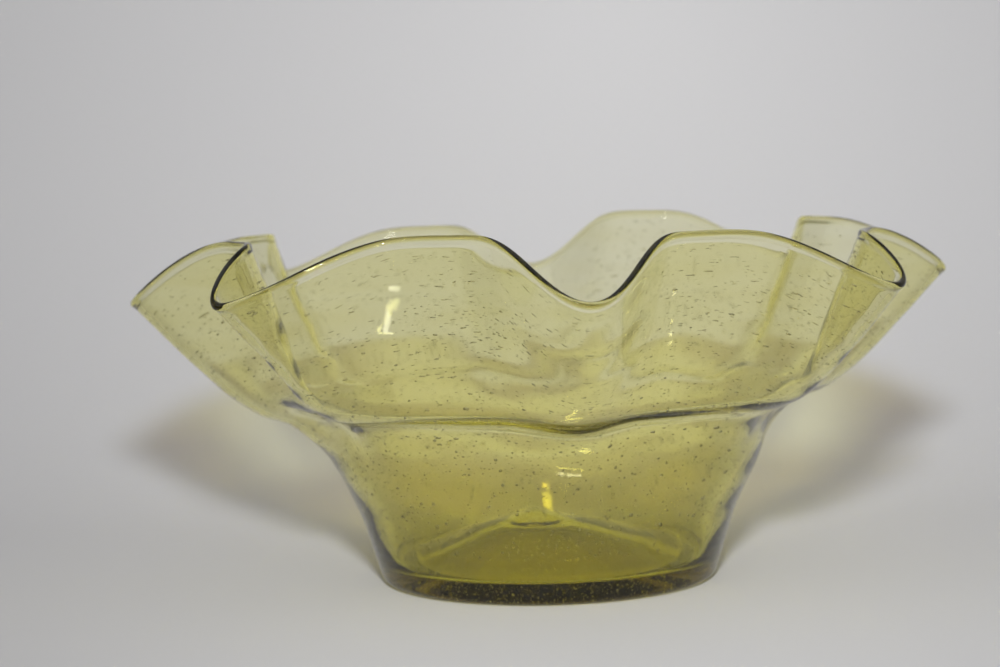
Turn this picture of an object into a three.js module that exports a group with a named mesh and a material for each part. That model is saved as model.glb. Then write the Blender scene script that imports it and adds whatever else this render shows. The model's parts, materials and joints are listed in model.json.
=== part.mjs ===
// A free-blown glass bowl with a heavy base and a ruffled lip.
//
// Units are millimetres and +Z is up. The bowl stands on z = 0, and the origin lies under the
// middle of its overall outline. A bearing is an angle round the bowl's own axis, in degrees,
// from the front (-Y) towards the right (+X). Reach is the distance from that axis.

import * as THREE from 'three';

const { degToRad, euclideanModulo, lerp } = THREE.MathUtils;

const FULL_TURN = 360;

// The lip was crimped hot, so no two folds are alike. Each outward fold (a spout) is followed by
// the inward fold (a crest) that separates it from the next one. Droop is how far the underside
// of a spout hangs below the common outline.
const SPOUTS = [
  { bearing: 6, reach: 148, height: 110, droop: 0 },
  { bearing: 53, reach: 149, height: 110, droop: -2 },
  { bearing: 96, reach: 151, height: 109, droop: 0 },
  { bearing: 139, reach: 149, height: 109, droop: 1 },
  { bearing: 182, reach: 150, height: 106, droop: 2 },
  { bearing: 225, reach: 151, height: 108, droop: 0 },
  { bearing: 272, reach: 151, height: 105, droop: 4 },
  { bearing: 316, reach: 153, height: 110, droop: -2 },
];
const CRESTS = [
  { bearing: 25, reach: 123, height: 130 },
  { bearing: 74, reach: 120, height: 126 },
  { bearing: 117, reach: 122, height: 127 },
  { bearing: 159, reach: 121, height: 129 },
  { bearing: 203, reach: 120, height: 125 },
  { bearing: 248, reach: 118, height: 126 },
  { bearing: 300, reach: 120, height: 128 },
  { bearing: 345, reach: 117, height: 131 },
];

// Higher values make the spouts narrower and the crests broader.
const REACH_SHARPNESS = 1.5;
const HEIGHT_SHARPNESS = 2.1;

// The wall's outer face, as [reach, height] upwards from the base. The body flares like a
// trumpet and breaks out into a ledge. Above it the frill leans out under the spouts and stands
// steeply under the crests.
const BODY = [[64.7, 14], [69.5, 27.5], [77.6, 44]];
const FRILL_UNDER_SPOUT = [[84.5, 55.5], [93, 62.5], [104, 66.5], [116, 74.5], [131, 88.5]];
const FRILL_UNDER_CREST = [[82, 58], [89, 65.5], [98, 70], [102.5, 80], [109.5, 101]];

// The wall ends in a flat ring at the bottom of the body, where the base begins.
const [SEAM_REACH, SEAM_HEIGHT] = BODY[0];

// The wall is heavy where it leaves the base and thins towards the lip, at first quickly and then
// slowly.
const THICKNESS_AT_SEAM = 4.6;
const THICKNESS_AT_LIP = 2.2;
const THINNING = 3;

const BEAD_DIAMETER = 3.2;

const HEEL_REACH = 61.8;
const HEEL_RADIUS = 4;
const HEEL_SLOPE = 74;
const FOOT_RING_WIDTH = 11;
const FLOOR_EDGE_REACH = 56;
const FLOOR_EDGE_HEIGHT = 8;

// The kick-up and the mound above it are blunt cones. Each runs between its height in the middle
// and the base's edge, pulled by one guide point near its top and one near its foot.
const KICK_HEIGHT = 16.5;
const KICK_TOP_GUIDE = [14, 16.5];
const KICK_FOOT_GUIDE = [36, 4.5];
const MOUND_HEIGHT = 25;
const MOUND_TOP_GUIDE = [10, 25];
const MOUND_FOOT_GUIDE = [47, 10.5];
const FLOOR_FILLET_WIDTH = 1.6;

const PONTIL_RADIUS = 8;
const PONTIL_DEPTH = 1.4;
const PONTIL_BEVEL = 1.6;

// How finely the round shapes are divided.
const WALL_COLUMNS = 96;
const WALL_STEPS = 20;
const BEAD_STEPS = 7;
const PAD_COLUMNS = 48;
const PONTIL_COLUMNS = 24;
const CURVE_STEPS = 6;

// The spout and the crest that a bearing lies between, and the share of the spout in the shape
// there: 1 on the spout and 0 on the crest.
function foldsAround(bearing) {
  const folds = SPOUTS.flatMap((spout, i) => [spout, CRESTS[i]]);
  const ahead = (fold) => euclideanModulo(fold.bearing - bearing, FULL_TURN);
  const next = folds.reduce((nearest, fold) => (ahead(fold) < ahead(nearest) ? fold : nearest));
  const last = folds.at(folds.indexOf(next) - 1);
  const gap = euclideanModulo(next.bearing - last.bearing, FULL_TURN);
  const leftToNext = ahead(next) / gap;
  const nextIsSpout = SPOUTS.includes(next);
  const fromSpout = nextIsSpout ? leftToNext : 1 - leftToNext;
  return {
    spout: nextIsSpout ? next : last,
    crest: nextIsSpout ? last : next,
    share: (1 + Math.cos(Math.PI * fromSpout)) / 2,
  };
}

// The wall's outer face at one bearing, as a curve in the plane of [reach, height]. It ends at
// the top of the lip.
function outerFace(bearing) {
  const { spout, crest, share } = foldsAround(bearing);
  const reachShare = share ** REACH_SHARPNESS;
  const heightShare = share ** HEIGHT_SHARPNESS;
  const underSpout = FRILL_UNDER_SPOUT.map(([reach, height]) => [reach, height - spout.droop]);
  const spoutFace = [...BODY, ...underSpout, [spout.reach, spout.height]];
  const crestFace = [...BODY, ...FRILL_UNDER_CREST, [crest.reach, crest.height]];
  const points = crestFace.map(([reach, height], i) => {
    const [spoutReach, spoutHeight] = spoutFace[i];
    return new THREE.Vector2(
      lerp(reach, spoutReach, reachShare),
      lerp(height, spoutHeight, heightShare),
    );
  });
  return new THREE.SplineCurve(points);
}

// How far the bead's centre and top stand above the end of the wall that the bead grows from.
function beadRise() {
  const radius = BEAD_DIAMETER / 2;
  const centre = Math.sqrt(radius ** 2 - (THICKNESS_AT_LIP / 2) ** 2);
  return { centre, top: centre + radius };
}

function wallThickness(step) {
  const left = 1 - step / WALL_STEPS;
  return lerp(THICKNESS_AT_LIP, THICKNESS_AT_SEAM, left ** THINNING);
}

// The outer face of every column, evenly spaced from the seam to the bead.
function outerColumns() {
  return Array.from({ length: WALL_COLUMNS }, (_, i) => {
    const face = outerFace((i * FULL_TURN) / WALL_COLUMNS);
    const wallShare = 1 - beadRise().top / face.getLength();
    return Array.from({ length: WALL_STEPS + 1 }, (__, j) => {
      const along = (wallShare * j) / WALL_STEPS;
      return { point: face.getPointAt(along), tangent: face.getTangentAt(along) };
    });
  });
}

// The inner face lies one wall thickness behind the outer one. Where the folds cross a column
// at a slant, the step within the column's plane is longer by the same slant.
function innerPoint(columns, i, j) {
  const { point, tangent } = columns[i][j];
  const before = columns.at(i - 1)[j].point;
  const after = columns[(i + 1) % WALL_COLUMNS][j].point;
  const outward = new THREE.Vector2(tangent.y, -tangent.x);
  const turn = degToRad((2 * FULL_TURN) / WALL_COLUMNS);
  const slant = after.clone().sub(before).dot(outward) / turn / point.x;
  const step = wallThickness(j) * Math.hypot(1, slant);
  if (j === 0) {
    return new THREE.Vector2(point.x - step / outward.x, point.y);
  }
  return point.clone().addScaledVector(outward, -step);
}

// Joins a closed ring of cross-sections, which all have the same number of corners, into one
// solid. The corners of a section run anticlockwise in the plane of [reach, height]. Each face
// is split along one of its diagonals, so that a ribbon that two solids share can match.
function ringSolid(sections, diagonalRises) {
  const corners = sections[0].length;
  const positions = sections.flatMap((section, i) => {
    const angle = degToRad((i * FULL_TURN) / sections.length);
    return section.flatMap(({ x, y }) => [x * Math.sin(angle), -x * Math.cos(angle), y]);
  });
  const triangles = [];
  sections.forEach((_, i) => {
    const here = i * corners;
    const there = ((i + 1) % sections.length) * corners;
    for (let j = 0; j < corners; j += 1) {
      const k = (j + 1) % corners;
      const halves = diagonalRises
        ? [here + j, there + j, there + k, here + j, there + k, here + k]
        : [here + j, there + j, here + k, there + j, there + k, here + k];
      triangles.push(...halves);
    }
  });
  const geometry = new THREE.BufferGeometry();
  geometry.setAttribute('position', new THREE.Float32BufferAttribute(positions, 3));
  geometry.setIndex(triangles);
  geometry.computeVertexNormals();
  return geometry;
}

function bowlWall(columns) {
  const sections = columns.map((column, i) => {
    const outer = column.map(({ point }) => point);
    const inner = column.map((_, j) => innerPoint(columns, i, j));
    return [...outer, ...inner.reverse()];
  });
  return ringSolid(sections, true);
}

// The lip melted back into a round bead that is thicker than the wall. Its section is a circle
// cut off by the end of the wall, so both solids have the same corners there.
function rimBead(columns) {
  const sections = columns.map((column, i) => {
    const outer = column[WALL_STEPS].point;
    const inner = innerPoint(columns, i, WALL_STEPS);
    const across = outer.clone().sub(inner);
    const halfWidth = across.length() / 2;
    across.normalize();
    const along = new THREE.Vector2(-across.y, across.x);
    const rise = beadRise().centre;
    const radius = Math.hypot(halfWidth, rise);
    const centre = outer.clone().lerp(inner, 0.5).addScaledVector(along, rise);
    const start = -Math.atan2(rise, halfWidth);
    const sweep = Math.PI - 2 * start;
    const round = Array.from({ length: BEAD_STEPS - 1 }, (_, k) => {
      const angle = start + (sweep * (k + 1)) / BEAD_STEPS;
      return centre
        .clone()
        .addScaledVector(across, radius * Math.cos(angle))
        .addScaledVector(along, radius * Math.sin(angle));
    });
    return [outer, ...round, inner];
  });
  return ringSolid(sections, false);
}

function turned(outline, columns) {
  return new THREE.LatheGeometry(outline.getPoints(CURVE_STEPS), columns).rotateX(Math.PI / 2);
}

// The thick base: a flat foot ring that the bowl stands on, a domed kick-up inside the ring, a
// rounded heel, and a floor that the kick-up raises into a mound.
function basePad(seamInnerReach) {
  const heelCentre = HEEL_REACH - HEEL_RADIUS;
  const footInner = heelCentre - FOOT_RING_WIDTH;
  const heelEnd = degToRad(HEEL_SLOPE - 90);
  const filletReach = seamInnerReach - FLOOR_FILLET_WIDTH;
  const outline = new THREE.Path();
  outline.moveTo(0, KICK_HEIGHT);
  outline.lineTo(PONTIL_RADIUS + 1, KICK_HEIGHT);
  outline.bezierCurveTo(...KICK_TOP_GUIDE, ...KICK_FOOT_GUIDE, footInner, 0);
  outline.lineTo(heelCentre, 0);
  outline.absarc(heelCentre, HEEL_RADIUS, HEEL_RADIUS, -Math.PI / 2, heelEnd, false);
  outline.lineTo(SEAM_REACH, SEAM_HEIGHT);
  outline.lineTo(seamInnerReach, SEAM_HEIGHT);
  outline.quadraticCurveTo(filletReach, FLOOR_EDGE_HEIGHT, FLOOR_EDGE_REACH, FLOOR_EDGE_HEIGHT);
  outline.bezierCurveTo(...MOUND_FOOT_GUIDE, ...MOUND_TOP_GUIDE, 0, MOUND_HEIGHT);
  return turned(outline, PAD_COLUMNS);
}

// The scar where the bowl was cracked off the pontil rod, under the kick-up and clear of the
// table.
function pontilMark() {
  const underside = KICK_HEIGHT - PONTIL_DEPTH;
  const outline = new THREE.Path();
  outline.moveTo(0, underside);
  outline.lineTo(PONTIL_RADIUS - PONTIL_BEVEL, underside);
  outline.lineTo(PONTIL_RADIUS, KICK_HEIGHT);
  outline.lineTo(0, KICK_HEIGHT);
  return turned(outline, PONTIL_COLUMNS);
}

function glassPiece(name, geometry, color, roughness) {
  const material = new THREE.MeshStandardMaterial({ color, roughness, metalness: 0 });
  const mesh = new THREE.Mesh(geometry, material);
  mesh.name = name;
  return mesh;
}

function bowl() {
  const columns = outerColumns();
  const seamInnerReach = innerPoint(columns, 0, 0).x;
  const group = new THREE.Group();
  group.add(glassPiece('bowl_wall', bowlWall(columns), 0xb9b46f, 0.03));
  group.add(glassPiece('rim_bead', rimBead(columns), 0x76733a, 0.02));
  group.add(glassPiece('base_pad', basePad(seamInnerReach), 0x5a551f, 0.04));
  group.add(glassPiece('pontil_mark', pontilMark(), 0x8f8b5c, 0.6));
  const middle = new THREE.Box3().setFromObject(group).getCenter(new THREE.Vector3());
  group.position.set(-middle.x, -middle.y, 0);
  return group;
}

export default bowl();
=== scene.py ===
"""A seeded olive-glass bowl with a ruffled lip, and the small studio it stands in.

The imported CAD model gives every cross-section of the bowl. This script lays one smooth skin
through them, cuts the skin into the glass pieces that the CAD names, and fills them with seeds.
Lengths are in metres, in the frame of the CAD model. A bearing is an angle round the bowl's
axis, from the front (-Y) towards the right (+X). A skin is an array of
[column, station, (x, y, z)], whose stations run from under the base, up the outside, over the
lip and down the inside to the middle of the floor.
"""

import json
import math

import bmesh
import bpy
import numpy as np
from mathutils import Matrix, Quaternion, Vector

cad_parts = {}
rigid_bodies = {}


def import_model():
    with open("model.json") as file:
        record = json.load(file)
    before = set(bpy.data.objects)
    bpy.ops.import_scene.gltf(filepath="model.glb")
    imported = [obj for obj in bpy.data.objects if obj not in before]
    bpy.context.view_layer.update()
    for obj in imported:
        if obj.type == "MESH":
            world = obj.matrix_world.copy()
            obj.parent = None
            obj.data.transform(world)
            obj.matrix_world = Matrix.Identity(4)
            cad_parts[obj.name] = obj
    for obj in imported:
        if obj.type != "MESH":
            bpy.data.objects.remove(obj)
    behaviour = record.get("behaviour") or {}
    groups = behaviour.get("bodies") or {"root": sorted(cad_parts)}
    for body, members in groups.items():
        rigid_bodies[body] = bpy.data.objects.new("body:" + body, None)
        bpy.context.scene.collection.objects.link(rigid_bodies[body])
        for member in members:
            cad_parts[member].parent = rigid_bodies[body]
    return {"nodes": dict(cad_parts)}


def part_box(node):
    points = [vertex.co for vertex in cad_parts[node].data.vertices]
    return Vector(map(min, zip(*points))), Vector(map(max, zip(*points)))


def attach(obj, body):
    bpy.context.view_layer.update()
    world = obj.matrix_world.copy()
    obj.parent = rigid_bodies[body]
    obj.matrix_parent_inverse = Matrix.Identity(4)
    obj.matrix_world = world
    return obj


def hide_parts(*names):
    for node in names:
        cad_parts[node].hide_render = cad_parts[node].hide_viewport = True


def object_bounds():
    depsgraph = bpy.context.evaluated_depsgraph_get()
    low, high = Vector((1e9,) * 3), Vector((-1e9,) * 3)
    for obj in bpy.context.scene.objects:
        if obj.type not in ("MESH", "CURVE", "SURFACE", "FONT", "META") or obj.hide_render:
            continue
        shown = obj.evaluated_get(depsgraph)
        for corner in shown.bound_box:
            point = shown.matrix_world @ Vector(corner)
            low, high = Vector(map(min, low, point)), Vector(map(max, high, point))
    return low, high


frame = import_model()
cad_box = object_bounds()

MM = 0.001
SAME_PLACE = 0.001 * MM
ON_AXIS = 1 * MM
FULL_TURN = 360
SAME_BEARING_DECIMALS = 2

# The skin. Each softening is how far it reaches and how many rounds it takes.
SKIN_COLUMNS = 480
WALL_STATIONS = 66
STATION_CROWDING = 1.5
BEAD_STATIONS = 20
BASE_FINEST_STEP = 0.25 * MM
BASE_LONGEST_STEP = 4 * MM
BASE_SHARPEST_TURN = math.radians(6)
BASE_SOFTENING_ROUNDS = 30
SEAM_SOFTENING = (8 * MM, 30)
NECK_SOFTENING = (1.4 * MM, 9)
SEAM_GAP = 0.005 * MM
TIP_POWER = 4

# The kick-up was pushed in by hand, a little to the left of the middle.
KICK_LEAN = 5 * MM
KICK_LEAN_REACH = 48 * MM

# The waves that blowing and turning leave in each face of the wall
RIPPLE_SEED = 7
RIPPLE_WAVES = 26
RIPPLE_MOST_TURNS = 9
RIPPLE_BANDS = (2, 9)
RIPPLE_HEIGHT = 0.1 * MM
RIPPLE_FADE = 0.5

# Seeds are the gas bubbles that give seeded glass its name. Blowing and crimping have drawn the
# ones near the lip into short threads. The share of each seed that is matt golden white is a
# painted glint, which makes the seed show as a bright speck. The bearings of clusters are in
# degrees.
SEED_SEED = 11
BIG_SEEDS = {"count": 2180, "radius": 0.15 * MM, "ball": 2, "glint_share": 0.15}
FINE_SEEDS = {"count": 9700, "radius": 0.15 * MM, "ball": 1, "glint_share": 0.1}
BASE_SEEDS = {"count": 6000, "radius": 0.13 * MM, "ball": 1, "glint_share": 0.34}
SEED_SPREAD = 0.42
SEED_SWELL_AT_BASE = 0.75
SEED_STRETCH_AT_LIP = 3.4
SEED_STRETCH_SPAN = (0.2, 1.6)
SEED_NARROWING = 0.35
SEED_TILT = 0.08
SEED_ROOM = 0.36
SEED_COVER = 0.1 * MM
SEEDED_SHARES = (0.02, 0.985)
SEED_CLUSTERS = [
    {"bearing": -6, "share": 0.8, "spread": (5, 0.05), "count": 60},
    {"bearing": 12, "share": 0.62, "spread": (6, 0.04), "count": 40},
    {"bearing": 48, "share": 0.85, "spread": (8, 0.06), "count": 50},
    {"bearing": -60, "share": 0.8, "spread": (9, 0.07), "count": 50},
    {"bearing": 150, "share": 0.75, "spread": (7, 0.05), "count": 50},
    {"bearing": 230, "share": 0.7, "spread": (7, 0.05), "count": 50},
]

# The pontil scar
AIR_GAP = 0.02 * MM
SCAR_SEED = 5
SCAR_CHIPS = 34
SCAR_CHIP_RADIUS = 3.2 * MM
SCAR_COLUMNS = 64
SCAR_RINGS = 16
SCAR_RAGGEDNESS = 0.12
SCAR_LEAST = 0.35
SCAR_EDGE_POWER = 6

# Glass. Scales say how often noise repeats in a metre along x, y and z.
GLASS_IOR = 1.5
GLASS_TINT = (0.87, 0.833, 0.0)
BASE_TINT = (0.905, 0.885, 0.0)
GLASS_DENSITY = 160
CORD_TINT = (0.975, 0.965, 0.90)
CORD_SCALE = (9, 9, 130)
SMUDGE_ROUGHNESS = (0, 0.02)
SMUDGE_SCALE = (40, 40, 60)
WEAR_HEIGHT = 0.35 * MM
WORN_ROUGHNESS = (0.2, 0.55)
SCRATCH_SCALE = (900, 300, 100)
FROST_ROUGHNESS = (0.25, 0.6)
FROST_SCALE = (300, 300, 300)
GRAIN_SCALE = (1500, 1500, 1500)
GRAIN_DEPTH = 0.1 * MM
# The colour of the seeds' painted glint
PAINTED_GLINT_COLOUR = (0.9, 0.82, 0.36)
STREAK_DETAIL = 3
STREAK_SPAN = (0.35, 0.75)

# The light that gets through to the table, by how far from the bowl's axis it meets the glass
SHADOW_TINTS = [
    (60 * MM, (0.45, 0.41, 0.16)),
    (66 * MM, (0.74, 0.66, 0.2)),
    (86 * MM, (0.74, 0.67, 0.28)),
    (98 * MM, (1.0, 0.98, 0.7)),
    (112 * MM, (1.0, 0.98, 0.66)),
    (132 * MM, (0.66, 0.57, 0.1)),
]
SHADOW_REACH = 160 * MM
SHADOW_GRAZE = 3

# A paper floor that bends up into a wall behind the bowl
PAPER_COLOUR = (0.62, 0.615, 0.62)
PAPER_ROUGHNESS = 0.9
PAPER_FRONT = -3.0
PAPER_HALF_WIDTH = 2.5
PAPER_BEND_PLACE = 0.12
PAPER_BEND_RADIUS = 0.9
PAPER_BEND_ANGLE = math.radians(85)
PAPER_BEND_CUTS = 40
PAPER_WALL_RUN = 0.15
PAPER_WALL_RISE = 1.6

# Lights. Glass reflects a dim room below and a bright ceiling above, whose edges are given as the
# upward part of a direction.
KEY_PLACE = (0.01, -0.88, 0.372)
KEY_AIM = (0.06, 0.9, 0.22)
KEY_SIZE = (0.08, 0.06)
KEY_POWER = 2.42
KEY_SPREAD = math.radians(66)
WINDOW_PLACE = (-0.31, -0.95, 0.87)
WINDOW_AIM = (-0.06, 0.09, 0.1)
WINDOW_SIZE = (0.3, 0.05)
WINDOW_POWER = 1.2
AMBIENT_COLOUR = (0.412, 0.412, 0.42)
REFLECTED_ROOM = (0.12, 0.105, 0.03)
REFLECTED_CEILING = (0.6, 0.6, 0.6)
CEILING_EDGES = (0.05, 0.7)
MOST_BOUNCES = 24

# The camera stands in front of the bowl's axis and is focused on the bowl's near side.
CAMERA_DISTANCE = 0.926
CAMERA_HEIGHT = 0.167
CAMERA_PITCH = 0.083
CAMERA_PAN = 0.0171
CAMERA_ROLL = -0.027
LENS = 91.5
SENSOR = 36
NEAREST_SEEN = 0.05
APERTURE = 13
FOCUS_HEIGHT = 0.06
FOCUS_RADIUS = 0.115


# ---------------------------------------------------------------- the CAD's cross-sections

def merged_mesh(node):
    """A CAD node's corners without doubles, and its edges as pairs of corner numbers."""
    mesh = frame["nodes"][node].data
    corners = np.array([v.co for v in mesh.vertices])
    keys = np.round(corners / SAME_PLACE).astype(int)
    _, first, number = np.unique(keys, axis=0, return_index=True, return_inverse=True)
    edges = number.ravel()[np.array([e.vertices for e in mesh.edges])]
    return corners[first], edges


def bowl_axis():
    low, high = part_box("base_pad")
    return np.array([(low.x + high.x) / 2, (low.y + high.y) / 2])


AXIS = bowl_axis()


class Columns:
    """A CAD node whose corners lie in columns, which are planes through the bowl's axis.
    points are (reach, height), and neighbours are the corners joined by an edge in a column."""

    def __init__(self, node):
        corners, edges = merged_mesh(node)
        x = corners[:, 0] - AXIS[0]
        y = corners[:, 1] - AXIS[1]
        reach = np.hypot(x, y)
        bearing = np.degrees(np.arctan2(x, -y))
        off_axis = reach > ON_AXIS
        self.points = np.stack([reach, corners[:, 2]], axis=1)
        self.axis_heights = corners[~off_axis, 2]
        rounded = np.round(bearing[off_axis] % FULL_TURN, SAME_BEARING_DECIMALS) % FULL_TURN
        self.count = len(np.unique(rounded))
        self.column = np.round(bearing * self.count / FULL_TURN).astype(int) % self.count
        self.column[~off_axis] = -1
        self.neighbours = [[] for _ in corners]
        for a, b in edges:
            if self.column[a] == self.column[b]:
                self.neighbours[a].append(b)
                self.neighbours[b].append(a)

    def members(self, column):
        return np.flatnonzero(self.column == column)

    def nearest(self, column, places):
        members = self.members(column)
        points = self.points[members]
        return [members[np.argmin(np.linalg.norm(points - place, axis=1))] for place in places]

    def walk(self, start, avoid):
        """The corners from start to the section's end, with a first step that isn't in avoid."""
        path = [start]
        barred = set(avoid)
        while True:
            here = self.points[path[-1]]
            onward = [n for n in self.neighbours[path[-1]] if n not in path and n not in barred]
            if not onward:
                return self.points[path]
            path.append(min(onward, key=lambda n: np.linalg.norm(self.points[n] - here)))
            barred = set()


def wall_sections():
    """[column, corner, (reach, height)] of the wall, up the outside and down the inside."""
    wall = Columns("bowl_wall")
    sections = []
    for i in range(wall.count):
        members = wall.members(i)
        heights = wall.points[members, 1]
        foot = members[heights < heights.min() + SAME_PLACE]
        outer_foot = foot[np.argmax(wall.points[foot, 0])]
        sections.append(wall.walk(outer_foot, avoid=foot))
    return np.array(sections)


def bead_sections(ribbon):
    """The same for the lip bead, from the wall's outer corner round to its inner one. The ribbon
    holds those two corners for each column."""
    bead = Columns("rim_bead")
    sections = []
    for i, corners in enumerate(ribbon):
        start, end = bead.nearest(i, corners)
        sections.append(bead.walk(start, avoid=[end]))
    return np.array(sections)


def base_outlines(feet):
    """The base's section as two lists of (reach, height): from the axis, under the base and up to
    the seam, and from the seam down the inside to the axis. feet are the wall's two corners at
    the seam, the outer one first."""
    base = Columns("base_pad")
    outer, inner = base.nearest(0, feet)
    under = base.walk(outer, avoid=[inner])[::-1]
    floor = base.walk(inner, avoid=[outer])
    bottom = base.axis_heights.min()
    top = base.axis_heights.max()
    return np.vstack([[0, bottom], under]), np.vstack([floor, [0, top]])


# ---------------------------------------------------------------- one smooth skin

def arc_lengths(points):
    steps = np.linalg.norm(np.diff(points, axis=0), axis=1)
    return np.concatenate([[0], np.cumsum(steps)])


def spline_matrix(knots, targets):
    """The matrix that turns values at the knots into a natural cubic spline's values at the
    targets."""
    count = len(knots)
    gaps = np.diff(knots)
    left = np.eye(count)
    right = np.zeros((count, count))
    for i in range(1, count - 1):
        left[i, i - 1 : i + 2] = gaps[i - 1], 2 * (gaps[i - 1] + gaps[i]), gaps[i]
        right[i, i - 1] = 6 / gaps[i - 1]
        right[i, i + 1] = 6 / gaps[i]
        right[i, i] = -right[i, i - 1] - right[i, i + 1]
    bends = np.linalg.solve(left, right)
    place = np.clip(np.searchsorted(knots, targets, side="right") - 1, 0, count - 2)
    rows = []
    for target, i in zip(targets, place):
        gap = gaps[i]
        before = (knots[i + 1] - target) / gap
        after = 1 - before
        row = (before**3 - before) * gap**2 / 6 * bends[i]
        row = row + (after**3 - after) * gap**2 / 6 * bends[i + 1]
        row[i] += before
        row[i + 1] += after
        rows.append(row)
    return np.array(rows)


def resampled(sections, shares):
    """Sections [column, corner, 2] resampled by one spline along each, at shares of its length."""
    mean = arc_lengths(sections.mean(axis=0))
    matrix = spline_matrix(mean / mean[-1], shares)
    return np.einsum("tc,ncd->ntd", matrix, sections)


def softened(outline):
    """A base outline with its corners melted round, cut only as fine as its bends need."""
    lengths = arc_lengths(outline)
    fine = np.linspace(0, lengths[-1], int(lengths[-1] / BASE_FINEST_STEP))
    points = np.stack([np.interp(fine, lengths, outline[:, k]) for k in range(2)], axis=1)
    for _ in range(BASE_SOFTENING_ROUNDS):
        points[1:-1] = (points[:-2] + 2 * points[1:-1] + points[2:]) / 4
    steps = np.diff(points, axis=0)
    heading = np.unwrap(np.arctan2(steps[:, 1], steps[:, 0]))
    turns = np.abs(np.diff(heading, prepend=heading[0]))
    costs = np.hypot(*steps.T) / BASE_LONGEST_STEP + turns / BASE_SHARPEST_TURN
    cost = np.concatenate([[0], np.cumsum(costs)])
    wanted = np.linspace(0, cost[-1], math.ceil(cost[-1]) + 1)
    return np.stack([np.interp(wanted, cost, points[:, k]) for k in range(2)], axis=1)


def relax(outlines, joint, reach, rounds):
    """Rounds off the corner that outlines [column, station, 2] have at a joint. Points move
    towards the line between their neighbours, less so the farther they are from the joint."""
    lengths = arc_lengths(outlines.mean(axis=0))
    pull = np.exp(-(((lengths - lengths[joint]) / reach) ** 2))[None, 1:-1, None] / 2
    for _ in range(rounds):
        steps = np.linalg.norm(np.diff(outlines, axis=1), axis=2)[..., None]
        before = steps[:, :-1]
        after = steps[:, 1:]
        middle = (outlines[:, :-2] * after + outlines[:, 2:] * before) / (before + after)
        outlines[:, 1:-1] += pull * (middle - outlines[:, 1:-1])


def more_columns(outlines, columns):
    """Outlines at more columns, by a Fourier series round the bowl."""
    series = np.fft.rfft(outlines, axis=0)
    return np.fft.irfft(series, n=columns, axis=0) * columns / len(outlines)


def make_skin():
    """The skin, and its stations at the outer seam, the bead's two ends and the inner seam."""
    wall = wall_sections()
    half = wall.shape[1] // 2
    bead = bead_sections(wall[:, half - 1 : half + 1])
    under, floor = map(softened, base_outlines(wall[0, [0, -1]]))
    from_lip = np.linspace(0, 1, WALL_STATIONS) ** STATION_CROWDING
    parts = [
        np.repeat(under[None, :-1], len(wall), axis=0),
        resampled(wall[:, :half], 1 - from_lip[::-1]),
        resampled(bead, np.linspace(0, 1, BEAD_STATIONS))[:, 1:-1],
        resampled(wall[:, half:], from_lip),
        np.repeat(floor[None, 1:], len(wall), axis=0),
    ]
    outlines = np.concatenate(parts, axis=1)
    ends = np.cumsum([part.shape[1] for part in parts])
    cuts = [int(n) for n in (ends[0], ends[1] - 1, ends[2], ends[3] - 1)]
    seam_out, lip_out, lip_in, seam_in = cuts
    for joint in (seam_out, seam_in):
        relax(outlines, joint, *SEAM_SOFTENING)
    for joint in (lip_out, lip_in):
        relax(outlines, joint, *NECK_SOFTENING)
    outlines = more_columns(outlines, SKIN_COLUMNS)
    bearing = np.arange(SKIN_COLUMNS)[:, None] * math.tau / SKIN_COLUMNS
    reach = outlines[..., 0]
    x = AXIS[0] + reach * np.sin(bearing)
    y = AXIS[1] - reach * np.cos(bearing)
    return np.stack([x, y, outlines[..., 1]], axis=2), cuts


def hold_inside(skin, box):
    """Draws the tips of the folds in, so that the smooth skin is no wider than the CAD's box."""
    low, high = (np.array(corner)[:2] for corner in box)
    most = skin[..., :2].max(axis=(0, 1))
    least = skin[..., :2].min(axis=(0, 1))
    excess = 1 - min((high / most).min(), (low / least).min())
    reach = np.linalg.norm(skin[..., :2] - AXIS, axis=2, keepdims=True)
    skin[..., :2] *= 1 - excess * (reach / reach.max()) ** TIP_POWER


def leant(points):
    """Points of the base moved with its kick-up. The foot ring and everything outside it stay."""
    reach = np.linalg.norm(points[..., :2] - AXIS, axis=-1)
    share = np.clip(1 - reach / KICK_LEAN_REACH, 0, 1)
    moved = points.copy()
    moved[..., 0] -= KICK_LEAN * share**2 * (3 - 2 * share)
    return moved


def skin_normals(skin):
    """Unit normals of the skin, pointing out of the glass."""
    round_bowl = np.roll(skin, -1, axis=0) - np.roll(skin, 1, axis=0)
    normals = np.cross(round_bowl, np.gradient(skin, axis=1))
    normals[:, 0] = 0, 0, -1
    normals[:, -1] = 0, 0, 1
    return normals / np.linalg.norm(normals, axis=2, keepdims=True)


def ripple(skin, normals, first, last, rng):
    """Moves one face of the wall, between two stations, by faint random waves."""
    bearing = np.arange(SKIN_COLUMNS)[:, None] * math.tau / SKIN_COLUMNS
    along = arc_lengths(skin[0, first : last + 1])
    along = along / along[-1]
    height = np.zeros((SKIN_COLUMNS, len(along)))
    for _ in range(RIPPLE_WAVES):
        turns = rng.integers(0, RIPPLE_MOST_TURNS)
        bands = rng.uniform(*RIPPLE_BANDS)
        phase = rng.uniform(0, math.tau)
        height += np.cos(turns * bearing + bands * math.tau * along + phase)
    height *= RIPPLE_HEIGHT / math.sqrt(RIPPLE_WAVES) * np.sin(math.pi * along) ** RIPPLE_FADE
    skin[:, first : last + 1] += height[..., None] * normals[:, first : last + 1]


# ---------------------------------------------------------------- pieces cut from the skin

def new_object(name, mesh):
    thing = bpy.data.objects.new(name, mesh)
    bpy.context.scene.collection.objects.link(thing)
    return thing


def pull_apart(points, end, start):
    """Draws the stations on both sides of a cap back by the seam's gap."""
    count = points.shape[1]
    for place, inside in ((end, end - 1), (start, (start + 1) % count)):
        back = points[:, inside] - points[:, place]
        points[:, place] += SEAM_GAP * back / np.linalg.norm(back, axis=1, keepdims=True)


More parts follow.
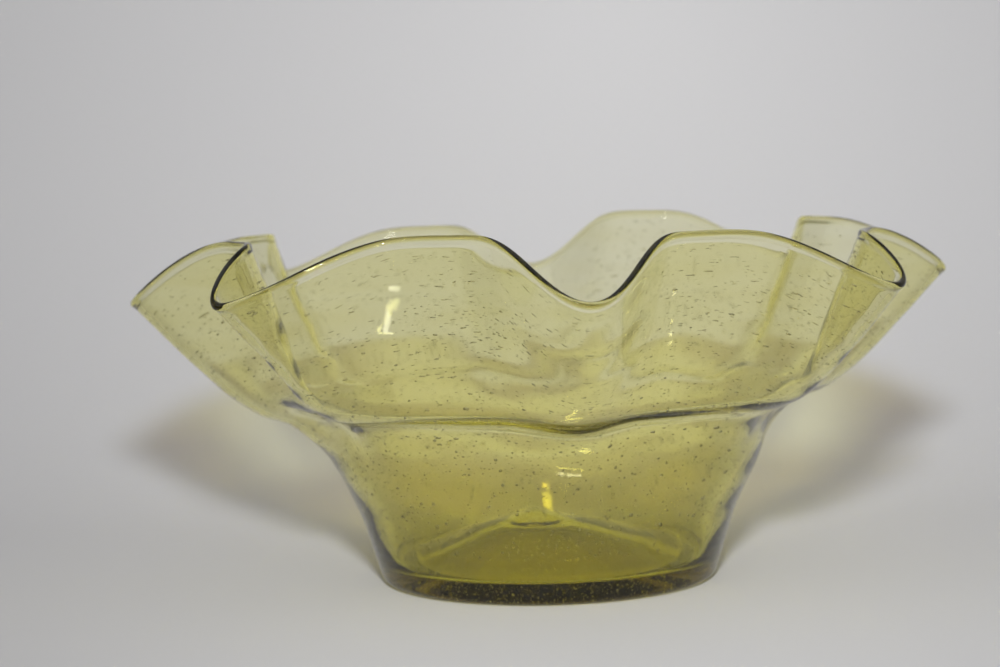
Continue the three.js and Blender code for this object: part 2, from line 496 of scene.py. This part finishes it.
def piece_faces(corner, run_ends, on_axis):
    """Faces between neighbouring columns and stations of a [column, station] array of corner
    numbers, and for each whether it is a cap."""
    count = corner.shape[1]
    following = np.roll(corner, -1, axis=0)
    faces = []
    caps = []
    for j in range(count - 1 if on_axis else count):
        k = (j + 1) % count
        quads = np.stack([corner[:, j], following[:, j], following[:, k], corner[:, k]], axis=1)
        faces += [list(dict.fromkeys(quad)) for quad in quads.tolist()]
        caps += [j in run_ends] * SKIN_COLUMNS
    return faces, caps


def cut_piece(name, skin, normals, runs):
    """A closed piece from runs of stations of the skin. A cap joins the end of each run to the
    start of the next; a run that begins or ends on the bowl's axis needs none there. The face
    attribute seam is 1 on caps, where glass goes on into the next piece."""
    stations = np.concatenate([np.arange(first, last + 1) for first, last in runs])
    count = len(stations)
    on_axis = runs[0][0] == 0
    points = skin[:, stations].copy()
    run_ends = set((np.cumsum([last - first + 1 for first, last in runs]) - 1).tolist())
    if on_axis:
        run_ends.remove(count - 1)
    for end in run_ends:
        pull_apart(points, end, (end + 1) % count)
    corner = np.arange(SKIN_COLUMNS * count).reshape(SKIN_COLUMNS, count)
    if on_axis:
        corner[:, 0] = corner[0, 0]
        corner[:, -1] = corner[0, -1]
    faces, caps = piece_faces(corner, run_ends, on_axis)
    used = np.unique(corner)
    renumber = {int(old): new for new, old in enumerate(used)}
    mesh = bpy.data.meshes.new(name)
    mesh.from_pydata(points.reshape(-1, 3)[used], [], [[renumber[v] for v in f] for f in faces])
    seam = mesh.attributes.new("seam", "FLOAT", "FACE")
    seam.data.foreach_set("value", np.array(caps, np.float32))
    set_normals(mesh, normals[:, stations].reshape(-1, 3)[used], caps)
    return new_object(name, mesh)


def set_normals(mesh, vertex_normals, caps):
    """Gives the mesh the skin's own normals, so that shading runs on across the seams. Caps stay
    flat."""
    mesh.polygons.foreach_set("use_smooth", np.ones(len(mesh.polygons), bool))
    vertices = np.zeros(len(mesh.loops), int)
    mesh.loops.foreach_get("vertex_index", vertices)
    loop_normals = vertex_normals[vertices]
    for polygon, is_cap in zip(mesh.polygons, caps):
        if is_cap:
            loop_normals[list(polygon.loop_indices)] = polygon.normal
    mesh.normals_split_custom_set(loop_normals.tolist())


# ---------------------------------------------------------------- seeds

def ball(fineness):
    """A unit ball of 20 triangles, or of 80 at fineness 2: its corners and its faces."""
    shape = bmesh.new()
    bmesh.ops.create_icosphere(shape, subdivisions=fineness, radius=1)
    corners = np.array([v.co for v in shape.verts])
    faces = np.array([[v.index for v in f.verts] for f in shape.faces])
    shape.free()
    return corners, faces


def ellipsoids(name, centres, half_axes, fineness):
    """One mesh of closed ellipsoids. half_axes is [seed, axis, (x, y, z)]."""
    corners, faces = ball(fineness)
    points = centres[:, None] + np.einsum("ca,nax->ncx", corners, half_axes)
    starts = np.arange(len(centres))[:, None, None] * len(corners)
    mesh = bpy.data.meshes.new(name)
    mesh.from_pydata(points.reshape(-1, 3), [], (faces[None] + starts).reshape(-1, 3).tolist())
    mesh.polygons.foreach_set("use_smooth", np.ones(len(mesh.polygons), bool))
    return new_object(name, mesh)


def seed_places(count, rng):
    """Where the wall's seeds lie: columns as fractions of a turn, and shares of the way from the
    seam to the lip. Some lie in clusters."""
    turns = rng.uniform(0, 1, count)
    shares = rng.uniform(*SEEDED_SHARES, count)
    for cluster in SEED_CLUSTERS:
        bearing_spread, share_spread = cluster["spread"]
        bearings = rng.normal(cluster["bearing"], bearing_spread, cluster["count"])
        turns = np.append(turns, bearings / FULL_TURN)
        shares = np.append(shares, rng.normal(cluster["share"], share_spread, cluster["count"]))
    return turns % 1, np.clip(shares, *SEEDED_SHARES)


def blended(face, columns, stations):
    """Points of one face of the wall, a [column, station, xyz] array, at fractional columns and
    stations."""
    column = np.floor(columns).astype(int)
    station = np.minimum(stations.astype(int), face.shape[1] - 2)
    u = (columns - column)[:, None]
    v = (stations - station)[:, None]
    here = column % SKIN_COLUMNS
    beside = (column + 1) % SKIN_COLUMNS
    lower = face[here, station] * (1 - u) + face[beside, station] * u
    upper = face[here, station + 1] * (1 - u) + face[beside, station + 1] * u
    return lower * (1 - v) + upper * v


def seed_frames(skin, cuts, turns, shares):
    """For each seed: the point of the wall's outer face, the way from there to the inner face, a
    unit vector round the bowl, and the way square through the wall."""
    seam_out, lip_out, lip_in, seam_in = cuts
    outer = skin[:, seam_out : lip_out + 1]
    inner = skin[:, lip_in : seam_in + 1][:, ::-1]
    lengths = arc_lengths(outer[0])
    station = np.interp(shares, lengths / lengths[-1], np.arange(len(lengths)))
    column = turns * SKIN_COLUMNS
    outside = blended(outer, column, station)
    through = blended(inner, column, station) - outside
    round_bowl = blended(outer, column + 1, station) - blended(outer, column - 1, station)
    round_bowl /= np.linalg.norm(round_bowl, axis=1, keepdims=True)
    square = through - round_bowl * np.sum(through * round_bowl, axis=1, keepdims=True)
    return outside, through, round_bowl, square


def seed_sizes(kind, shares, thickness, rng):
    """Half the length, width and depth of each seed. Seeds are larger near the base, and more
    drawn out near the lip."""
    radius = kind["radius"] * np.exp(rng.normal(0, SEED_SPREAD, len(shares)))
    radius *= 1 + SEED_SWELL_AT_BASE * (1 - shares)
    stretch = 1 + SEED_STRETCH_AT_LIP * shares**2 * rng.uniform(*SEED_STRETCH_SPAN, len(shares))
    depth = np.minimum(radius / np.sqrt(stretch), SEED_ROOM * thickness)
    return np.stack([radius * stretch, radius / stretch**SEED_NARROWING, depth], axis=1)


def wall_seeds(name, kind, skin, cuts, rng):
    """Seeds between the wall's two faces, drawn out round the bowl near the lip."""
    turns, shares = seed_places(kind["count"], rng)
    outside, through, round_bowl, square = seed_frames(skin, cuts, turns, shares)
    thickness = np.linalg.norm(square, axis=1)
    normal = square / thickness[:, None]
    upward = np.cross(normal, round_bowl)
    sizes = seed_sizes(kind, shares, thickness, rng)
    tilt = rng.normal(0, SEED_TILT, len(turns))[:, None]
    along = round_bowl * np.cos(tilt) + upward * np.sin(tilt)
    across = upward * np.cos(tilt) - round_bowl * np.sin(tilt)
    half_axes = np.stack([along, across, normal], axis=1) * sizes[:, :, None]
    slack = 0.5 - (sizes[:, 2] + SEED_COVER) / thickness
    centres = outside + through * (0.5 + slack * rng.uniform(-1, 1, len(turns)))[:, None]
    return ellipsoids(name, centres, half_axes, kind["ball"])


def base_seeds(skin, cuts, rng):
    """Small round seeds all through the base. The skin is the one before the kick-up leant."""
    seam_out, _, _, seam_in = cuts
    under = skin[0, : seam_out + 1] - [*AXIS, 0]
    floor = skin[0, seam_in:][::-1] - [*AXIS, 0]
    under_reach = np.hypot(under[:, 0], under[:, 1])
    floor_reach = np.hypot(floor[:, 0], floor[:, 1])
    centres = []
    radii = []
    while len(centres) < BASE_SEEDS["count"]:
        reach = floor_reach[-1] * math.sqrt(rng.uniform())
        radius = BASE_SEEDS["radius"] * math.exp(rng.normal(0, SEED_SPREAD))
        low = np.interp(reach, under_reach, under[:, 2]) + 2 * radius
        high = np.interp(reach, floor_reach, floor[:, 2]) - 2 * radius
        height = rng.uniform(0, floor[:, 2].max())
        if low < height < high:
            bearing = rng.uniform(0, math.tau)
            x = AXIS[0] + reach * math.sin(bearing)
            y = AXIS[1] - reach * math.cos(bearing)
            centres.append((x, y, height))
            radii.append(radius)
    half_axes = np.array(radii)[:, None, None] * np.eye(3)
    return ellipsoids("base_seeds", leant(np.array(centres)), half_axes, BASE_SEEDS["ball"])


# ---------------------------------------------------------------- the pontil scar

def scar_shape(radius, thickness):
    """The scar's underside, as [column, ring] arrays: x and y from its middle, and the depth below
    its top. Chips left shallow scoops with sharp ridges between them."""
    rng = np.random.default_rng(SCAR_SEED)
    chips = rng.uniform(-radius, radius, (SCAR_CHIPS, 2))
    bearings = np.arange(SCAR_COLUMNS)[:, None] * math.tau / SCAR_COLUMNS
    ragged = 1 - SCAR_RAGGEDNESS * rng.uniform(0, 1, SCAR_COLUMNS)
    ragged = (np.roll(ragged, 1) + ragged + np.roll(ragged, -1)) / 3
    shares = np.linspace(0, 1, SCAR_RINGS + 1)[1:]
    across = radius * ragged[:, None] * shares
    x = across * np.sin(bearings)
    y = -across * np.cos(bearings)
    apart = np.hypot(x[..., None] - chips[:, 0], y[..., None] - chips[:, 1]).min(axis=2)
    scoop = np.clip(1 - (apart / SCAR_CHIP_RADIUS) ** 2, 0, 1)
    edge = 1 - shares**SCAR_EDGE_POWER
    depth = thickness * (1 - (1 - SCAR_LEAST) * scoop) * edge + AIR_GAP
    return x, y, depth


def pontil_scar():
    """The rough disc where the bowl was cracked off its rod, with a ragged edge."""
    low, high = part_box("pontil_mark")
    top = high.z - AIR_GAP
    x, y, depth = scar_shape((high.x - low.x) / 2, top - low.z)
    x += AXIS[0]
    y += AXIS[1]
    shape = bmesh.new()
    upper_middle = shape.verts.new((*AXIS, top))
    lower_middle = shape.verts.new((*AXIS, top - depth[:, 0].mean()))
    over = [shape.verts.new((x[i, -1], y[i, -1], top)) for i in range(SCAR_COLUMNS)]
    under = [
        [shape.verts.new((x[i, j], y[i, j], top - depth[i, j])) for j in range(SCAR_RINGS)]
        for i in range(SCAR_COLUMNS)
    ]
    for i in range(SCAR_COLUMNS):
        k = (i + 1) % SCAR_COLUMNS
        shape.faces.new((upper_middle, over[i], over[k]))
        shape.faces.new((over[k], over[i], under[i][-1], under[k][-1]))
        shape.faces.new((lower_middle, under[k][0], under[i][0]))
        for j in range(SCAR_RINGS - 1):
            shape.faces.new((under[i][j], under[k][j], under[k][j + 1], under[i][j + 1]))
    bmesh.ops.recalc_face_normals(shape, faces=shape.faces)
    for corner in shape.verts:
        corner.co = leant(np.array(corner.co))
    mesh = bpy.data.meshes.new("pontil_scar")
    shape.to_mesh(mesh)
    shape.free()
    return new_object("pontil_scar", mesh)


# ---------------------------------------------------------------- materials

def new_material(name):
    material = bpy.data.materials.new(name)
    material.use_nodes = True
    nodes = material.node_tree.nodes
    nodes.clear()
    output = nodes.new("ShaderNodeOutputMaterial")
    return material, nodes, material.node_tree.links, output


def add_node(nodes, kind, values=None, **settings):
    """A new shader node, with its settings and the values of its inputs."""
    node = nodes.new(kind)
    for name, setting in settings.items():
        setattr(node, name, setting)
    for name, value in (values or {}).items():
        node.inputs[name].default_value = value
    return node


def add_range(nodes, source, target, **settings):
    """A node that maps one span of values onto another."""
    spans = {"From Min": source[0], "From Max": source[1], "To Min": target[0], "To Max": target[1]}
    return add_node(nodes, "ShaderNodeMapRange", spans, **settings)


def add_colour_mix(nodes, **colours):
    """A node that mixes colours A and B. A colour that isn't given comes from a link."""
    values = {name: (*colour, 1) for name, colour in colours.items()}
    return add_node(nodes, "ShaderNodeMix", values, data_type="RGBA")


def streaks(nodes, links, scale, span):
    """Noise spread over a span of values. Unequal scales draw it out into streaks, as the cords in
    blown glass are."""
    place = nodes.new("ShaderNodeTexCoord")
    stretch = add_node(nodes, "ShaderNodeMapping", {"Scale": scale})
    noise = add_node(nodes, "ShaderNodeTexNoise", {"Scale": 1, "Detail": STREAK_DETAIL})
    spread = add_range(nodes, STREAK_SPAN, span)
    links.new(place.outputs["Object"], stretch.inputs["Vector"])
    links.new(stretch.outputs["Vector"], noise.inputs["Vector"])
    links.new(noise.outputs["Fac"], spread.inputs["Value"])
    return spread.outputs["Result"]


def glass_roughness(nodes, links):
    """Faint smudges all over, and a worn grey ring where the glass stands on the table."""
    geometry = nodes.new("ShaderNodeNewGeometry")
    place = nodes.new("ShaderNodeSeparateXYZ")
    worn = add_range(nodes, (WEAR_HEIGHT, 0), (0, 1))
    roughness = nodes.new("ShaderNodeMix")
    smudges = streaks(nodes, links, SMUDGE_SCALE, SMUDGE_ROUGHNESS)
    scratches = streaks(nodes, links, SCRATCH_SCALE, WORN_ROUGHNESS)
    links.new(geometry.outputs["Position"], place.inputs["Vector"])
    links.new(place.outputs["Z"], worn.inputs["Value"])
    links.new(worn.outputs["Result"], roughness.inputs["Factor"])
    links.new(smudges, roughness.inputs["A"])
    links.new(scratches, roughness.inputs["B"])
    return roughness.outputs["Result"]


def add_depth_of_colour(nodes, links, output, tint):
    """Colour that deepens with the glass's thickness."""
    values = {"Color": (*tint, 1), "Density": GLASS_DENSITY}
    depth = add_node(nodes, "ShaderNodeVolumeAbsorption", values)
    links.new(depth.outputs["Volume"], output.inputs["Volume"])


def olive_glass(name, tint):
    """Clear olive glass. Cords of slightly denser glass run round it, and caps between pieces are
    invisible, because light isn't bent there."""
    material, nodes, links, output = new_material(name)
    surface = add_node(nodes, "ShaderNodeBsdfPrincipled", {"Transmission Weight": 1})
    cords = add_colour_mix(nodes, A=(1, 1, 1), B=CORD_TINT)
    seam = add_node(nodes, "ShaderNodeAttribute", attribute_name="seam")
    ior = add_range(nodes, (0, 1), (GLASS_IOR, 1))
    links.new(streaks(nodes, links, CORD_SCALE, (0, 1)), cords.inputs["Factor"])
    links.new(cords.outputs["Result"], surface.inputs["Base Color"])
    links.new(glass_roughness(nodes, links), surface.inputs["Roughness"])
    links.new(seam.outputs["Fac"], ior.inputs["Value"])
    links.new(ior.outputs["Result"], surface.inputs["IOR"])
    links.new(surface.outputs["BSDF"], output.inputs["Surface"])
    add_depth_of_colour(nodes, links, output, tint)
    return material


def broken_glass(name):
    """The same glass where it was cracked off: frosted, with finer grain in places."""
    material, nodes, links, output = new_material(name)
    values = {"Transmission Weight": 1, "IOR": GLASS_IOR}
    surface = add_node(nodes, "ShaderNodeBsdfPrincipled", values)
    grain = add_node(nodes, "ShaderNodeBump", {"Distance": GRAIN_DEPTH})
    frost = streaks(nodes, links, FROST_SCALE, FROST_ROUGHNESS)
    links.new(frost, surface.inputs["Roughness"])
    links.new(streaks(nodes, links, GRAIN_SCALE, (0, 1)), grain.inputs["Height"])
    links.new(grain.outputs["Normal"], surface.inputs["Normal"])
    links.new(surface.outputs["BSDF"], output.inputs["Surface"])
    add_depth_of_colour(nodes, links, output, GLASS_TINT)
    return material


def gas_seed(name, glint_share):
    """The boundary from glass into the gas of a seed. A share of it is matt golden white, a painted
    glint that makes the seed show as a bright speck.
    """
    material, nodes, links, output = new_material(name)
    surface = add_node(nodes, "ShaderNodeBsdfGlass", {"IOR": 1 / GLASS_IOR, "Roughness": 0})
    # The matt golden-white share is a painted glint that makes the seed show as a bright speck.
    painted_glint = add_node(nodes, "ShaderNodeBsdfDiffuse", {"Color": (*PAINTED_GLINT_COLOUR, 1)})
    mix = add_node(nodes, "ShaderNodeMixShader", {"Fac": glint_share})
    links.new(surface.outputs["BSDF"], mix.inputs[1])
    links.new(painted_glint.outputs["BSDF"], mix.inputs[2])
    links.new(mix.outputs["Shader"], output.inputs["Surface"])
    return material


def tint_by_reach(nodes, links):
    """The shadow's colour, which goes by the distance from the bowl's axis."""
    place = nodes.new("ShaderNodeNewGeometry")
    shares = (1 / SHADOW_REACH, 1 / SHADOW_REACH, 0)
    from_axis = add_node(nodes, "ShaderNodeVectorMath", {1: shares}, operation="MULTIPLY")
    reach = add_node(nodes, "ShaderNodeVectorMath", operation="LENGTH")
    tints = nodes.new("ShaderNodeValToRGB")
    stops = tints.color_ramp.elements
    stops.remove(stops[0])
    for distance, colour in SHADOW_TINTS:
        stops.new(distance / SHADOW_REACH).color = (*colour, 1)
    stops.remove(stops[-1])
    links.new(place.outputs["Position"], from_axis.inputs[0])
    links.new(from_axis.outputs["Vector"], reach.inputs[0])
    links.new(reach.outputs["Value"], tints.inputs["Fac"])
    return tints.outputs["Color"]


def shadow_glass():
    """What the lamp sees in place of the glass. Light is tinted and lost at each face, above all
    where it grazes one, but not at the caps between pieces."""
    material, nodes, links, output = new_material("lamp_shadow")
    clear = nodes.new("ShaderNodeBsdfTransparent")
    facing = nodes.new("ShaderNodeLayerWeight")
    loss = add_node(nodes, "ShaderNodeMath", {1: SHADOW_GRAZE}, operation="POWER")
    tint = add_colour_mix(nodes, B=(0, 0, 0))
    seam = add_node(nodes, "ShaderNodeAttribute", attribute_name="seam")
    whole = add_colour_mix(nodes, B=(1, 1, 1))
    links.new(tint_by_reach(nodes, links), tint.inputs["A"])
    links.new(facing.outputs["Facing"], loss.inputs[0])
    links.new(loss.outputs["Value"], tint.inputs["Factor"])
    links.new(seam.outputs["Fac"], whole.inputs["Factor"])
    links.new(tint.outputs["Result"], whole.inputs["A"])
    links.new(whole.outputs["Result"], clear.inputs["Color"])
    links.new(clear.outputs["BSDF"], output.inputs["Surface"])
    return material


def plain_paper():
    """Matt paper that can't be seen from behind, so that any camera sees the bowl."""
    material, nodes, links, output = new_material("studio_paper")
    values = {"Base Color": (*PAPER_COLOUR, 1), "Roughness": PAPER_ROUGHNESS}
    surface = add_node(nodes, "ShaderNodeBsdfPrincipled", values)
    clear = nodes.new("ShaderNodeBsdfTransparent")
    geometry = nodes.new("ShaderNodeNewGeometry")
    mix = nodes.new("ShaderNodeMixShader")
    links.new(geometry.outputs["Backfacing"], mix.inputs["Fac"])
    links.new(surface.outputs["BSDF"], mix.inputs[1])
    links.new(clear.outputs["BSDF"], mix.inputs[2])
    links.new(mix.outputs["Shader"], output.inputs["Surface"])
    return material


# ---------------------------------------------------------------- the bowl

def shaped_skins():
    """The skin upright, the skin with its kick-up leant, and the stations of their joints."""
    skin, cuts = make_skin()
    seam_out, lip_out, lip_in, seam_in = cuts
    rng = np.random.default_rng(RIPPLE_SEED)
    normals = skin_normals(skin)
    ripple(skin, normals, seam_out, lip_out, rng)
    ripple(skin, normals, lip_in, seam_in, rng)
    hold_inside(skin, cad_box)
    return skin, leant(skin), cuts


def add_shadow(piece, material):
    """A twin of a glass piece that only lamps see."""
    twin = new_object(piece.name + "_shadow", piece.data)
    twin.material_slots[0].link = "OBJECT"
    twin.material_slots[0].material = material
    for ray in ("camera", "diffuse", "glossy", "transmission", "volume_scatter"):
        setattr(twin, "visible_" + ray, False)
    return twin


def glass_pieces(skin, cuts):
    """The wall, the lip bead and the base, cut from the skin. Returns their shadow twins."""
    seam_out, lip_out, lip_in, seam_in = cuts
    last = skin.shape[1] - 1
    pieces = [
        ("bowl_wall", "wall_glass", GLASS_TINT, [(seam_out, lip_out), (lip_in, seam_in)]),
        ("rim_bead", "lip_glass", GLASS_TINT, [(lip_out, lip_in)]),
        ("base_pad", "base_glass", BASE_TINT, [(0, seam_out), (seam_in, last)]),
    ]
    normals = skin_normals(skin)
    shade = shadow_glass()
    twins = []
    for node, slot, tint, runs in pieces:
        piece = cut_piece(node + "_glass", skin, normals, runs)
        piece.data.materials.append(olive_glass(slot, tint))
        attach(piece, "root")
        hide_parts(node)
        twins.append(add_shadow(piece, shade))
    return twins


def add_scar():
    scar = pontil_scar()
    scar.data.materials.append(broken_glass("pontil_glass"))
    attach(scar, "root")
    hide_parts("pontil_mark")


def add_seeds(upright, skin, cuts):
    rng = np.random.default_rng(SEED_SEED)
    batches = [
        (wall_seeds("wall_seeds", BIG_SEEDS, skin, cuts, rng), BIG_SEEDS),
        (wall_seeds("fine_wall_seeds", FINE_SEEDS, skin, cuts, rng), FINE_SEEDS),
        (base_seeds(upright, cuts, rng), BASE_SEEDS),
    ]
    for seeds, kind in batches:
        # Each kind of seed gets its own share of painted glint.
        seeds.data.materials.append(gas_seed(seeds.name + "_gas", kind["glint_share"]))
        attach(seeds, "root")


# ---------------------------------------------------------------- studio, lights and camera

def paper_sweep():
    """A seamless paper floor that curves up behind the bowl."""
    profile = [(PAPER_FRONT, 0)]
    for angle in np.linspace(0, PAPER_BEND_ANGLE, PAPER_BEND_CUTS):
        back = PAPER_BEND_PLACE + PAPER_BEND_RADIUS * math.sin(angle)
        profile.append((back, PAPER_BEND_RADIUS * (1 - math.cos(angle))))
    back, height = profile[-1]
    profile.append((back + PAPER_WALL_RUN, height + PAPER_WALL_RISE))
    points = [(x, y, z) for y, z in profile for x in (-PAPER_HALF_WIDTH, PAPER_HALF_WIDTH)]
    faces = [(2 * i, 2 * i + 1, 2 * i + 3, 2 * i + 2) for i in range(len(profile) - 1)]
    mesh = bpy.data.meshes.new("paper_sweep")
    mesh.from_pydata(points, [], faces)
    mesh.polygons.foreach_set("use_smooth", [True] * len(faces))
    mesh.materials.append(plain_paper())
    new_object("paper_sweep", mesh)


def softbox(name, place, aim, size, power):
    data = bpy.data.lights.new(name, "AREA")
    data.shape = "RECTANGLE"
    data.size, data.size_y = size
    data.energy = power
    light = new_object(name, data)
    light.location = place
    light.rotation_euler = (Vector(aim) - Vector(place)).to_track_quat("-Z", "Y").to_euler()
    return light


def collected(name, things):
    collection = bpy.data.collections.new(name)
    for thing in things:
        collection.objects.link(thing)
    return collection


def lamps(twins):
    """The key lamp, whose light only the shadow twins stop, and a window that only shows as a
    highlight on the glass."""
    key = softbox("key", KEY_PLACE, KEY_AIM, KEY_SIZE, KEY_POWER)
    key.data.spread = KEY_SPREAD
    key.light_linking.blocker_collection = collected("key_blockers", twins)
    window = softbox("window", WINDOW_PLACE, WINDOW_AIM, WINDOW_SIZE, WINDOW_POWER)
    glass = [thing for thing in bpy.data.objects if thing.name.endswith("_glass")]
    window.light_linking.receiver_collection = collected("window_lights_only_the_glass", glass)


def surroundings():
    """Even pale light all round, except that what glass reflects is dim below and bright above."""
    world = bpy.data.worlds.new("studio")
    world.use_nodes = True
    nodes = world.node_tree.nodes
    links = world.node_tree.links
    path = nodes.new("ShaderNodeLightPath")
    direction = nodes.new("ShaderNodeTexCoord")
    rise = nodes.new("ShaderNodeSeparateXYZ")
    above = add_range(nodes, CEILING_EDGES, (0, 1), interpolation_type="SMOOTHSTEP")
    reflected = add_colour_mix(nodes, A=REFLECTED_ROOM, B=REFLECTED_CEILING)
    seen = add_colour_mix(nodes, A=AMBIENT_COLOUR)
    links.new(direction.outputs["Generated"], rise.inputs["Vector"])
    links.new(rise.outputs["Z"], above.inputs["Value"])
    links.new(above.outputs["Result"], reflected.inputs["Factor"])
    links.new(path.outputs["Glossy Depth"], seen.inputs["Factor"])
    links.new(reflected.outputs["Result"], seen.inputs["B"])
    links.new(seen.outputs["Result"], nodes["Background"].inputs["Color"])
    bpy.context.scene.world = world


def focus_point(cam):
    """A point on the bowl's near side, whichever way the camera comes from."""
    centre = new_object("bowl_centre", None)
    centre.location = (*AXIS, FOCUS_HEIGHT)
    focus = new_object("focus", None)
    follow = focus.constraints.new("COPY_LOCATION")
    follow.target = cam
    near_side = focus.constraints.new("LIMIT_DISTANCE")
    near_side.target = centre
    near_side.distance = FOCUS_RADIUS
    near_side.limit_mode = "LIMITDIST_ONSURFACE"
    return focus


def camera():
    data = bpy.data.cameras.new("camera")
    data.sensor_width = SENSOR
    data.lens = LENS
    data.clip_start = NEAREST_SEEN
    cam = new_object("camera", data)
    cam.location = (AXIS[0], AXIS[1] - CAMERA_DISTANCE, CAMERA_HEIGHT)
    look = Vector((-math.sin(CAMERA_PAN), math.cos(CAMERA_PAN), -math.tan(CAMERA_PITCH)))
    cam.rotation_mode = "QUATERNION"
    cam.rotation_quaternion = look.to_track_quat("-Z", "Y") @ Quaternion((0, 0, 1), CAMERA_ROLL)
    data.dof.use_dof = True
    data.dof.focus_object = focus_point(cam)
    data.dof.aperture_fstop = APERTURE
    bpy.context.scene.camera = cam


upright, skin, cuts = shaped_skins()
twins = glass_pieces(skin, cuts)
add_scar()
add_seeds(upright, skin, cuts)

paper_sweep()
lamps(twins)
surroundings()
camera()

scene = bpy.context.scene
scene.view_settings.view_transform = "Standard"
scene.cycles.max_bounces = MOST_BOUNCES
scene.cycles.transmission_bounces = MOST_BOUNCES
scene.cycles.transparent_max_bounces = MOST_BOUNCES
scene.cycles.use_denoising = True
